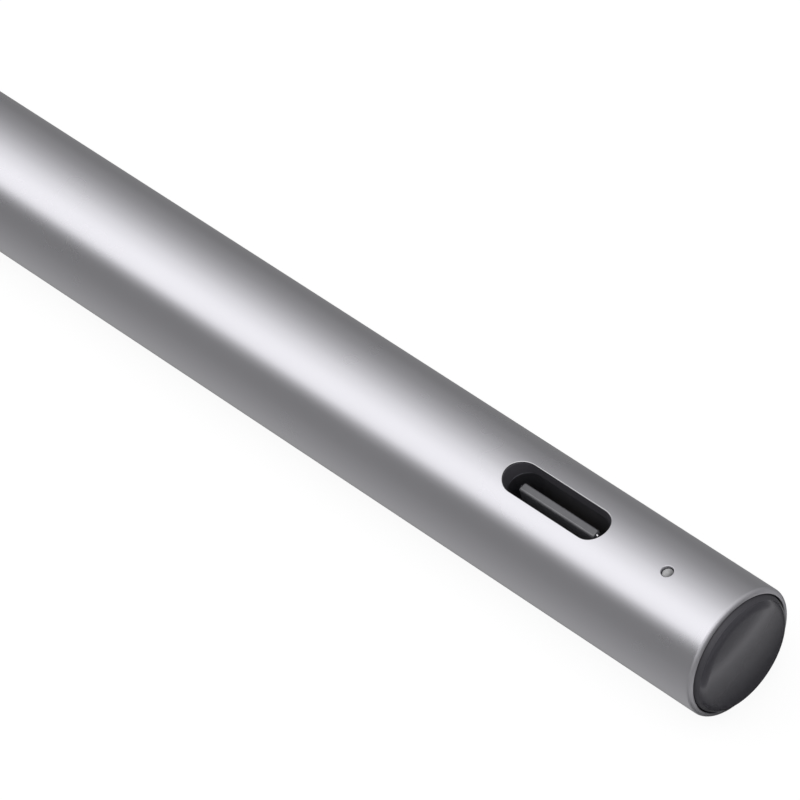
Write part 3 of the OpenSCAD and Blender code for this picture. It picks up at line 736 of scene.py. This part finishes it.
def key_mesh(node, sizes):
    """A side key: crowned top flush with the tube's curve, flange inside, post over its switch."""
    x, flange_l, _, foot, top_r = extent(node)
    key_l, key_w, e, steps = sizes.key_length, sizes.key_width, sizes.key_edge, 6
    flange_w = key_w + flange_l - key_l
    seat, floor, post_r = dome(BORE_R - 0.00004), 0.00305, 0.0007
    inner_l, inner_w = key_l - 2 * e, key_w - 2 * e
    pace, clear = 0.0002, 0.0002
    grid = [(i * pace * 2, j * pace) for i in range(-12, 13) for j in range(-8, 9)
            if in_obround(i * pace * 2, j * pace, inner_l - clear, inner_w - clear)]

    def spot(c):
        return lifted([c], x, dome(top_r))[0]

    def normal(c):
        return (0.0, c[1] / top_r, sqrt(1 - (c[1] / top_r) ** 2))

    skin = Skin()
    outline = obround(inner_l, inner_w)
    sheet(skin, grid, [outline], spot, normal,
          lambda u, v: in_obround(u, v, inner_l + 1e-6, inner_w + 1e-6))
    rows = [lifted(outline, x, dome(top_r))] + rolled(x, key_l, key_w, top_r, e, steps, -1)
    rows += stack(x, obround, (key_l, key_w, seat), (flange_l, flange_w, seat),
                  (flange_l, flange_w, floor))
    rows += stack(x, disc, (post_r, floor), (post_r, foot))
    for k in range(len(rows) - 1):
        bridge(skin, rows[k + 1], rows[k], edges=(1.0, 1.0) if 0 < k < steps else (0.0, 0.0))
    lid(skin, rows[-1], up=False)
    return skin.mesh()


def nose_rule(sizes):
    """The numbers that the nose cone's outside follows."""
    length, rings = box("nose_cone")[1].x - FRONT_X, 60
    return {"length": length, "tip": 0.00175, "power": 1.45, "rings": rings,
            "first": sizes.front_edge / length, "last": (rings - 1) / rings}


def nose_core_mesh(sizes, rule):
    """The nose cone without its outside: mouth, funnel, spigot into the tube and front edge."""
    start, mouth = TUBE_LENGTH, TUBE_LENGTH + rule["length"]
    spigot_start = box("nose_cone")[0].x - TAIL_X
    room_end = box("tilt_ring")[1].x - TAIL_X + SLIP
    spigot_r, inner_r, mouth_r, tip, lip = 0.00358, 0.00295, 0.00115, rule["tip"], 0.00018
    funnel, edge = 0.0058, 0.00008

    def outer(share):
        """A point of the outside at a share of its length."""
        return (tip + (TUBE_R - tip) * (1 - share ** rule["power"]),
                start + rule["length"] * share)

    profile = [outer(rule["last"])]
    profile += [(tip + out, mouth - back * lip) for out, back in
                ((0.00002, 1), (-0.00003, 0.5), (-0.00012, 0.1), (-0.00022, 0))]
    profile += [(mouth_r + edge, mouth), (mouth_r, mouth - edge), (mouth_r, room_end + funnel),
                (inner_r, room_end), (inner_r, spigot_start), (spigot_r, spigot_start),
                (spigot_r, start), (TUBE_R - sizes.front_edge, start), outer(rule["first"])]
    return spun(profile, NOSE_STEPS, edges=(len(profile) - 2,))


def nib_mesh():
    """The nib: shaft, shoulder, and a smooth bullet point."""
    start, tip = (corner.x - TAIL_X for corner in box("nib"))
    mouth = box("nose_cone")[1].x - TAIL_X
    shaft, base_r, tip_r, core_r, point, steps = 0.00085, 0.00102, 0.0006, 0.0003, 0.0001, 13
    shoulder, slope, core_end = mouth - 0.0014, 0.0005, tip - 0.0014
    profile = [(core_r, start), (shaft, start), (shaft, shoulder), (base_r, shoulder + slope),
               (base_r, mouth)]
    profile += [(base_r + (tip_r - base_r) * (0.25 * s + 0.75 * s * s),
                 mouth + (tip - tip_r - mouth) * s) for s in (i / steps for i in range(1, steps))]
    profile += arc((point, tip - tip_r + point), tip_r - point, 0, 90, 12)
    profile += [(0, tip), (0, core_end), (core_r, core_end)]
    return spun(profile, NIB_STEPS, closed=True)


def lens_mesh(sizes):
    """The status light's lens: a low dome in the hole and its flange inside the tube, with painted
    shade round the dome's rim.
    """
    x, _, _, bottom, top = extent("light_lens")
    r, flange_r, rise = sizes.light_radius - 0.00003, 0.00085, 0.00016
    shelf, seat = BORE_R - 0.0008, dome(BORE_R - SLIP)
    rows = stack(x, disc, (r, bottom), (r, shelf), (flange_r, shelf), (flange_r, seat),
                 (r, seat), (r, top - rise),
                 *[(r * cos(a), top - rise + rise * sin(a))
                   for a in quarter(9)[1:-1]])

    def shade(share):
        """Painted shade: the dark ring round the lens, deeper toward the tail."""
        return lambda point: share * min(1.0, max(0.0, 0.35 - 0.9 * (point[0] - x) / r))

    return lofted(rows, [0.0] * 4 + [shade(share) for share in [1.0] * 7 + [0.95, 0.8, 0.5]])


def grown(name, tree_name, build, inputs, material, body, slot, *nodes, core=None):
    """A piece made by a Geometry Nodes tree with named inputs, turned into a plain mesh. A core
    mesh, if there is one, goes into the tree."""
    tree = bpy.data.node_groups.new(tree_name, "GeometryNodeTree")
    tree.interface.new_socket("Geometry", in_out="OUTPUT", socket_type="NodeSocketGeometry")
    if core:
        tree.interface.new_socket("Core", in_out="INPUT", socket_type="NodeSocketGeometry")
    inputs = {**inputs, "Material": material}
    offer(tree, inputs)
    given = tree.nodes.new("NodeGroupInput").outputs
    real = wired(tree, "GeometryNodeRealizeInstances", [build(tree, given)])
    paint = wired(tree, "GeometryNodeSetMaterial", {"Geometry": real,
                                                    "Material": given["Material"]})
    wired(tree, "NodeGroupOutput", [paint])
    source = core or bpy.data.meshes.new(name + "_source")
    holder = bpy.data.objects.new(name + "_source", source)
    bpy.context.scene.collection.objects.link(holder)
    modifier = holder.modifiers.new("Grown", "NODES")
    modifier.node_group = tree
    for item in tree.interface.items_tree:
        if item.in_out == "INPUT" and item.name in inputs:
            modifier[item.identifier] = inputs[item.name]
    bpy.context.view_layer.update()
    ready = holder.evaluated_get(bpy.context.evaluated_depsgraph_get())
    mesh = bpy.data.meshes.new_from_object(ready)
    bpy.data.objects.remove(holder)
    mesh.shade_smooth()
    mesh.set_sharp_from_angle(angle=radians(40))
    return piece(name, mesh, material, body, slot, *nodes)


def nose_form(tree, given):
    """The nose cone's outside, whose radius falls with a power of the way along it, welded to
    the core."""
    grid = wired(tree, "GeometryNodeMeshGrid", {
        "Size X": 1.0, "Size Y": 1.0, "Vertices X": given["Rings"],
        "Vertices Y": reckon(tree, "ADD", given["Around"], 1.0)})
    place = wired(tree, "GeometryNodeInputPosition")
    apart = wired(tree, "ShaderNodeSeparateXYZ", [place]).node.outputs
    share = wired(tree, "ShaderNodeMapRange", (apart["X"], -0.5, 0.5, given["First share"],
                                               given["Last share"]))
    turn = reckon(tree, "MULTIPLY", apart["Y"], 2 * pi)
    left = reckon(tree, "SUBTRACT", 1.0, reckon(tree, "POWER", share, given["Power"]))
    taper = reckon(tree, "SUBTRACT", given["Wide radius"], given["Tip radius"])
    radius = reckon(tree, "MULTIPLY_ADD", taper, left, given["Tip radius"])
    spot = wired(tree, "ShaderNodeCombineXYZ", (
        reckon(tree, "MULTIPLY_ADD", share, given["Length"], given["Start"]),
        reckon(tree, "MULTIPLY", radius, reckon(tree, "SINE", turn)),
        reckon(tree, "MULTIPLY_ADD", radius, reckon(tree, "COSINE", turn),
               given["Axis height"])))
    laid = wired(tree, "GeometryNodeSetPosition", {"Geometry": grid, "Position": spot})
    join = wired(tree, "GeometryNodeJoinGeometry", [given["Core"]])
    tree.links.new(laid, join.node.inputs[0])
    return wired(tree, "GeometryNodeMergeByDistance", {"Geometry": join, "Distance": 1e-6})


def contact_rows(tree, given):
    """Two rows of contact blades, one on each side of the tongue."""
    blade = wired(tree, "GeometryNodeMeshCube", {"Size": given["Blade"]})
    join = wired(tree, "GeometryNodeJoinGeometry")
    for side in ("Near row", "Far row"):
        row = wired(tree, "GeometryNodeMeshLine", {
            "Count": given["Count"], "Start Location": given[side], "Offset": given["Pitch"]},
            mode="OFFSET")
        spread = wired(tree, "GeometryNodeInstanceOnPoints", {"Points": row, "Instance": blade})
        tree.links.new(spread, join.node.inputs[0])
    return join


def coil_path(tree, given):
    """A round wire wound along the pen."""
    spiral = wired(tree, "GeometryNodeCurveSpiral", {
        "Resolution": 40, "Rotations": given["Turns"], "Start Radius": given["Coil radius"],
        "End Radius": given["Coil radius"], "Height": given["Length"]})
    laid = wired(tree, "GeometryNodeTransform", {
        "Geometry": spiral, "Translation": given["Start"],
        "Rotation": (0, radians(90), 0)})
    wire = wired(tree, "GeometryNodeCurvePrimitiveCircle", {"Resolution": 12,
                                                            "Radius": given["Wire radius"]})
    return wired(tree, "GeometryNodeCurveToMesh", {"Curve": laid, "Profile Curve": wire,
                                                   "Fill Caps": True})


def coil(name, node, coil_r, turns_made):
    """A return spring, wound over the length of its CAD node."""
    low, high = box(node)
    steel, wire_r, travel = inner_finish("spring"), 0.00013, 0.0004
    made = grown(name, name + " tree", coil_path, {
        "Turns": turns_made, "Coil radius": coil_r, "Wire radius": wire_r,
        "Length": high.x - low.x - 2 * wire_r, "Start": (low.x + wire_r, 0.0, AXIS_Z)},
        steel, "barrel", "spring", node)
    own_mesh(made)
    return made


# Operators


SETTINGS = {"pen_sizes": PenSizes, "pen_colours": PenColours, "pen_studio": PenStudio}


def settings(context):
    """The scene's sizes, colours and studio."""
    return [getattr(context.scene, name) for name in SETTINGS]


class PEN_OT_barrel(bpy.types.Operator):
    """Make the barrel's skin with its openings"""
    bl_idname = "pen.barrel"
    bl_label = "Barrel"

    def execute(self, context):
        sizes, colours, _ = settings(context)
        blasted = finish("blasted_aluminium", colours.barrel, (0.265, 0.30), metal=1.0,
                         spread=0.03, drift=120.0, pits=11000.0, depth=6e-7,
                         edge_and_painted_tone=(0.70, 0.70, 0.72), edge_rough=0.22, soft_rough=0.5)
        piece("barrel_skin", barrel_skin(sizes), blasted, "barrel", "barrel", "barrel_tube")
        return {"FINISHED"}


class PEN_OT_cap(bpy.types.Operator):
    """Make the tail cap"""
    bl_idname = "pen.cap"
    bl_label = "Tail cap"

    def execute(self, context):
        sizes, colours, _ = settings(context)
        satin = finish("satin_cap", colours.cap, (0.16, 0.21), spread=0.08, drift=260.0,
                       pits=9000.0, depth=5e-7, soft_rough=0.55, IOR=1.62,
                       Specular_Tint=(0.97, 0.95, 1.0, 1))
        piece("tail_cap_body", cap_mesh(sizes), satin, "tail_button", "cap", "tail_cap")
        return {"FINISHED"}


class PEN_OT_port(bpy.types.Operator):
    """Make the charging port: liner, shell, tongue, mid plate and contacts"""
    bl_idname = "pen.port"
    bl_label = "Charging port"

    def execute(self, context):
        sizes, colours, _ = settings(context)
        matt = finish("matt_liner", colours.liner, (0.45, 0.6), spread=0.12, pits=8000.0,
                      depth=1.5e-6)
        drawn = finish("drawn_steel", colours.port_steel, (0.40, 0.52), metal=1.0, spread=0.08,
                       lines=(1.0, 1.0, 0.06), depth=6e-7)
        # The blade's edge tone is painted light on its front face and its bevel toward +Y.
        moulded = finish("moulded_blade", colours.tongue, (0.34, 0.46), spread=0.1, pits=9000.0,
                         depth=8e-7, edge_and_painted_tone=(0.265, 0.265, 0.275), edge_rough=0.36)
        bright = finish("bright_steel", (0.8, 0.8, 0.82), (0.24, 0.32), metal=1.0,
                        lines=(0.08, 1.0, 1.0), depth=3e-7)
        for name, mesh, material, slot, node in (
                ("port_liner_wall", liner_mesh(sizes), matt, "liner", "port_liner"),
                ("port_shell_can", shell_mesh(), drawn, "port_steel", "port_shell"),
                ("port_tongue_blade", tongue_mesh(sizes), moulded, "tongue", "port_tongue"),
                ("port_mid_plate_sheet", mid_plate_mesh(), bright, "port_steel",
                 "port_mid_plate")):
            piece(name, mesh, material, "barrel", slot, node)
        low, high = box("port_contacts")
        count, pitch, width, thick = 12, 0.0005, 0.00025, 0.0001
        x, z = low.x + width / 2, (low.z + high.z) / 2
        grown("port_contact_rows", "contact rows", contact_rows, {
            "Count": count, "Pitch": (pitch, 0.0, 0.0), "Blade": (width, thick, high.z - low.z),
            "Near row": (x, high.y - thick / 2, z), "Far row": (x, low.y + thick / 2, z)},
            inner_finish("gold"), "barrel", "gold", "port_contacts")
        return {"FINISHED"}


class PEN_OT_light(bpy.types.Operator):
    """Make the status light's lens"""
    bl_idname = "pen.light"
    bl_label = "Status light"

    def execute(self, context):
        sizes, colours, _ = settings(context)
        # The lens's edge tone is painted shade: the dark ring round its rim.
        frosted = finish("frosted_lens", colours.lens, (0.14, 0.2), spread=0.04, pits=12000.0,
                         depth=3e-7, edge_and_painted_tone=(0.10, 0.10, 0.105), edge_rough=0.3)
        piece("status_lens_dome", lens_mesh(sizes), frosted, "barrel", "lens", "light_lens")
        return {"FINISHED"}


def moulded_grey(name, colours, depth):
    """Fine matt moulding, a little polished at its edges."""
    return finish(name, colours.nose, (0.42, 0.54), spread=0.08, pits=8000.0, depth=depth,
                  edge_and_painted_tone=(0.17, 0.17, 0.18), edge_rough=0.36)


class PEN_OT_keys(bpy.types.Operator):
    """Make the two side keys"""
    bl_idname = "pen.keys"
    bl_label = "Side keys"

    def execute(self, context):
        sizes, colours, _ = settings(context)
        matt = moulded_grey("matt_key", colours, 1.2e-6)
        for node in ("upper_key", "lower_key"):
            piece(node + "_cap", key_mesh(node, sizes), matt, node + "_body", "key", node)
        return {"FINISHED"}


class PEN_OT_nose(bpy.types.Operator):
    """Make the nose cone and the nib"""
    bl_idname = "pen.nose"
    bl_label = "Nose and nib"

    def execute(self, context):
        sizes, colours, _ = settings(context)
        rule = nose_rule(sizes)
        grown("nose_cone_body", "nose form", nose_form, {
            "Start": FRONT_X, "Length": rule["length"], "Wide radius": TUBE_R,
            "Tip radius": rule["tip"], "Power": rule["power"], "First share": rule["first"],
            "Last share": rule["last"], "Axis height": AXIS_Z, "Rings": rule["rings"],
            "Around": NOSE_STEPS}, moulded_grey("matt_nose", colours, 1.4e-6), "barrel", "nose",
            "nose_cone", core=nose_core_mesh(sizes, rule))
        acetal = finish("worn_acetal", colours.nib, (0.32, 0.5), spread=0.16, drift=900.0,
                        pits=7000.0, depth=1e-6)
        piece("nib_point", nib_mesh(), acetal, "nib_body", "nib", "nib")
        return {"FINISHED"}


class PEN_OT_springs(bpy.types.Operator):
    """Wind the tail spring and the nib spring"""
    bl_idname = "pen.springs"
    bl_label = "Springs"

    def execute(self, context):
        coil("tail_coil", "tail_spring", 0.0026, 2.0)
        coil("nib_coil", "nib_spring", 0.00194, 4.0)
        return {"FINISHED"}


class PEN_OT_inside(bpy.types.Operator):
    """Give the pieces inside their finishes"""
    bl_idname = "pen.inside"
    bl_label = "Inside"

    def execute(self, context):
        slots = {s["node"]: s["material_slot"] for s in frame["record"]["subparts"]}
        for node, item in frame["nodes"].items():
            if not item.hide_render:
                for holder in item.material_slots:
                    holder.material = inner_finish(slots[node])
        return {"FINISHED"}


# Studio


# Levels of the light: on the tent by degrees from above toward +Y, on the cards beside the pen
# # by millimetres across it, and on the card at its end by millimetres behind the tail rim. The
# # low levels next to the pen are a painted shadow of the pen on the cards.
TENT = [(-90, 0.31), (-67, 0.385), (-47, 0.565), (-27, 0.84), (-8, 1.20), (15, 1.49), (38, 1.49),
        (52, 0.46), (60, 0.25), (90, 0.29)]
NEAR = [(0, 0.03), (2, 0.05), (3.6, 0.20), (5, 0.42), (7, 0.43), (12, 0.39), (20, 0.35),
        (60, 0.30), (150, 0.29)]
FAR = [(-150, 0.26), (-20, 0.26), (-5, 0.27), (-3.5, 0.15), (0, 0.03)]
END = [(0, 0.02), (1.3, 0.05), (2.2, 0.17), (3.2, 0.34), (3.8, 0.44), (4.5, 0.56), (5.1, 0.76),
       (5.7, 1.16), (6.2, 0.80), (6.8, 0.42), (8, 0.35), (12, 0.26), (20, 0.20)]

# The camera: its place from the tail's middle, and the ways back from it and to its right.
CAMERA_PLACE = (-0.17087, 0.12982, 0.29896)
CAMERA_BACK = (-0.52832, 0.34248, 0.77691)
CAMERA_RIGHT = (0.46203, -0.65172, 0.60148)
CAMERA_LENS = 257.51


def empty_material(name):
    """A material without nodes, and its tree."""
    made = bpy.data.materials.new(name)
    made.use_nodes = True
    made.node_tree.nodes.clear()
    return made, made.node_tree


def graded(name, measure, stops, strength=1.0):
    """An emitting material whose level follows a measure that the given function builds from the
    object's coordinates. The stops are (measure, level)."""
    made, tree = empty_material(name)
    coords = wired(tree, "ShaderNodeTexCoord", out="Object")
    apart = wired(tree, "ShaderNodeSeparateXYZ", [coords]).node.outputs
    low, high = stops[0][0], stops[-1][0]
    spread = wired(tree, "ShaderNodeMapRange", (measure(tree, apart), low, high))
    ramp = wired(tree, "ShaderNodeValToRGB", [spread])
    ramp.node.color_ramp.interpolation = "EASE"
    marks = ramp.node.color_ramp.elements
    while len(marks) > 1:
        marks.remove(marks[-1])
    peak = max(brightness for _, brightness in stops)
    for k, (place, brightness) in enumerate(stops):
        where = (place - low) / (high - low)
        mark = marks[0] if k == 0 else marks.new(where)
        mark.position = where
        mark.color = (brightness / peak,) * 3 + (1,)
    lamp = wired(tree, "ShaderNodeEmission", {"Color": ramp, "Strength": strength * peak})
    wired(tree, "ShaderNodeOutputMaterial", [lamp])
    return made


def angle_round(tree, apart):
    """The angle round the pen's axis, in degrees from above toward +Y."""
    return reckon(tree, "MULTIPLY", reckon(tree, "ARCTAN2", apart["Y"], apart["Z"]),
                  180 / pi)


def across(tree, apart):
    """The place across the pen, in millimetres."""
    return reckon(tree, "MULTIPLY", apart["Y"], 1000.0)


def behind(tree, apart):
    """How far behind the tail rim a point is, in millimetres."""
    return reckon(tree, "MULTIPLY_ADD", apart["X"], -1000.0, 1000.0 * TAIL_X)


def floor_material(studio):
    """White to the camera and in reflections, with the pen's soft shadow; plain for bounces."""
    made, tree = empty_material("floor")
    plain = wired(tree, "ShaderNodeBsdfDiffuse", {"Color": (0.8, 0.8, 0.8, 1)})
    faint = wired(tree, "ShaderNodeBsdfDiffuse", {"Color": (studio.floor_tone,) * 3 + (1,)})
    white = wired(tree, "ShaderNodeEmission", {"Strength": studio.floor_glow})
    both = wired(tree, "ShaderNodeAddShader", (white, faint))
    path = wired(tree, "ShaderNodeLightPath").node.outputs
    seen = reckon(tree, "MAXIMUM", path["Is Camera Ray"], path["Is Glossy Ray"])
    clear = reckon(tree, "MAXIMUM", seen, path["Is Transmission Ray"])
    mix = wired(tree, "ShaderNodeMixShader", (clear, plain, both))
    wired(tree, "ShaderNodeOutputMaterial", [mix])
    return made


def square(x0, x1, y0, y1, z):
    """Points and face of a card that lies flat."""
    return [(x0, y0, z), (x1, y0, z), (x1, y1, z), (x0, y1, z)], [(0, 1, 2, 3)]


def half_tube(radius, start, stop, count=48):
    """Points and faces of a tent over the pen, from the floor on one side to the other."""
    points = [(x, radius * sin(a), radius * cos(a))
              for a in (radians(-90 + 180 * i / count) for i in range(count + 1))
              for x in (start, stop)]
    return points, [(2 * i, 2 * i + 2, 2 * i + 3, 2 * i + 1) for i in range(count)]


def stage_piece(name, shape, material, seen_by_camera=False, seen_by_gloss_only=False):
    """A surface of the studio."""
    mesh = bpy.data.meshes.new(name)
    mesh.from_pydata(shape[0], [], shape[1])
    mesh.materials.append(material)
    made = bpy.data.objects.new(name, mesh)
    bpy.context.scene.collection.objects.link(made)
    made.visible_camera = seen_by_camera
    if seen_by_gloss_only:
        made.visible_diffuse = made.visible_shadow = made.visible_transmission = False


class PEN_OT_stage(bpy.types.Operator):
    """Make the floor, the light tent, the grey cards beside the pen, the world and the camera"""
    bl_idname = "pen.stage"
    bl_label = "Stage"

    def execute(self, context):
        scene, (_, _, studio) = context.scene, settings(context)
        stage_piece("floor", square(-4, 4, -4, 4, 0), floor_material(studio),
                    seen_by_camera=True)
        stage_piece("tent", half_tube(0.5, -0.7, 1.0),
                    graded("tent_glow", angle_round, TENT, studio.tent_level))
        lift, inner, outer, front = 0.0002, 0.0016, 0.45, 0.6
        for name, shape, measure, stops in (
                ("card_near", square(TAIL_X, front, inner, outer, lift), across, NEAR),
                ("card_far", square(TAIL_X, front, -outer, -inner, lift), across, FAR),
                ("card_end", square(-outer, TAIL_X, -outer, outer, lift), behind, END)):
            stage_piece(name, shape, graded(name, measure, stops), seen_by_gloss_only=True)
        scene.world = bpy.data.worlds.new("studio")
        scene.world.use_nodes = True
        shade = scene.world.node_tree.nodes["Background"]
        shade.inputs["Color"].default_value = (1, 1, 1, 1)
        shade.inputs["Strength"].default_value = studio.ambient
        scene.view_settings.view_transform = "Standard"
        camera = bpy.data.objects.new("camera", bpy.data.cameras.new("camera"))
        camera.data.sensor_width, camera.data.lens = 36, CAMERA_LENS
        camera.data.clip_start, camera.data.clip_end = 0.01, 20
        back = Vector(CAMERA_BACK).normalized()
        right = Vector(CAMERA_RIGHT).cross(back).normalized()
        turn = Matrix((right, back.cross(right), back)).transposed().to_4x4()
        place = [near + away for near, away in zip((TAIL_X, 0, AXIS_Z), CAMERA_PLACE)]
        camera.matrix_world = Matrix.Translation(place) @ turn
        scene.collection.objects.link(camera)
        scene.camera = camera
        return {"FINISHED"}


MAKERS = (PEN_OT_barrel, PEN_OT_cap, PEN_OT_port, PEN_OT_light, PEN_OT_keys, PEN_OT_nose,
          PEN_OT_springs, PEN_OT_inside, PEN_OT_stage)


class PEN_PT_panel(bpy.types.Panel):
    """The pen's sizes, colours and makers"""
    bl_label = "Pen"
    bl_idname = "PEN_PT_panel"
    bl_space_type = "VIEW_3D"
    bl_region_type = "UI"
    bl_category = "Pen"

    def draw(self, context):
        for group in settings(context):
            holder = self.layout.box()
            for name in group.__annotations__:
                holder.prop(group, name)
        for maker in MAKERS:
            self.layout.operator(maker.bl_idname)


CLASSES = (*SETTINGS.values(), *MAKERS, PEN_PT_panel)


def register():
    """Registers the classes and gives scenes their settings."""
    for item in CLASSES:
        bpy.utils.register_class(item)
    for name, group in SETTINGS.items():
        setattr(bpy.types.Scene, name, bpy.props.PointerProperty(type=group))


def unregister():
    """Takes the settings and the classes away again."""
    for name in SETTINGS:
        delattr(bpy.types.Scene, name)
    for item in reversed(CLASSES):
        bpy.utils.unregister_class(item)


def main():
    """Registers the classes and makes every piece."""
    register()
    for maker in MAKERS:
        call = getattr(bpy.ops.pen, maker.bl_idname.split(".")[1])
        if call() != {"FINISHED"}:
            raise RuntimeError(maker.bl_idname + " did not finish")


if __name__ == "__main__":
    main()
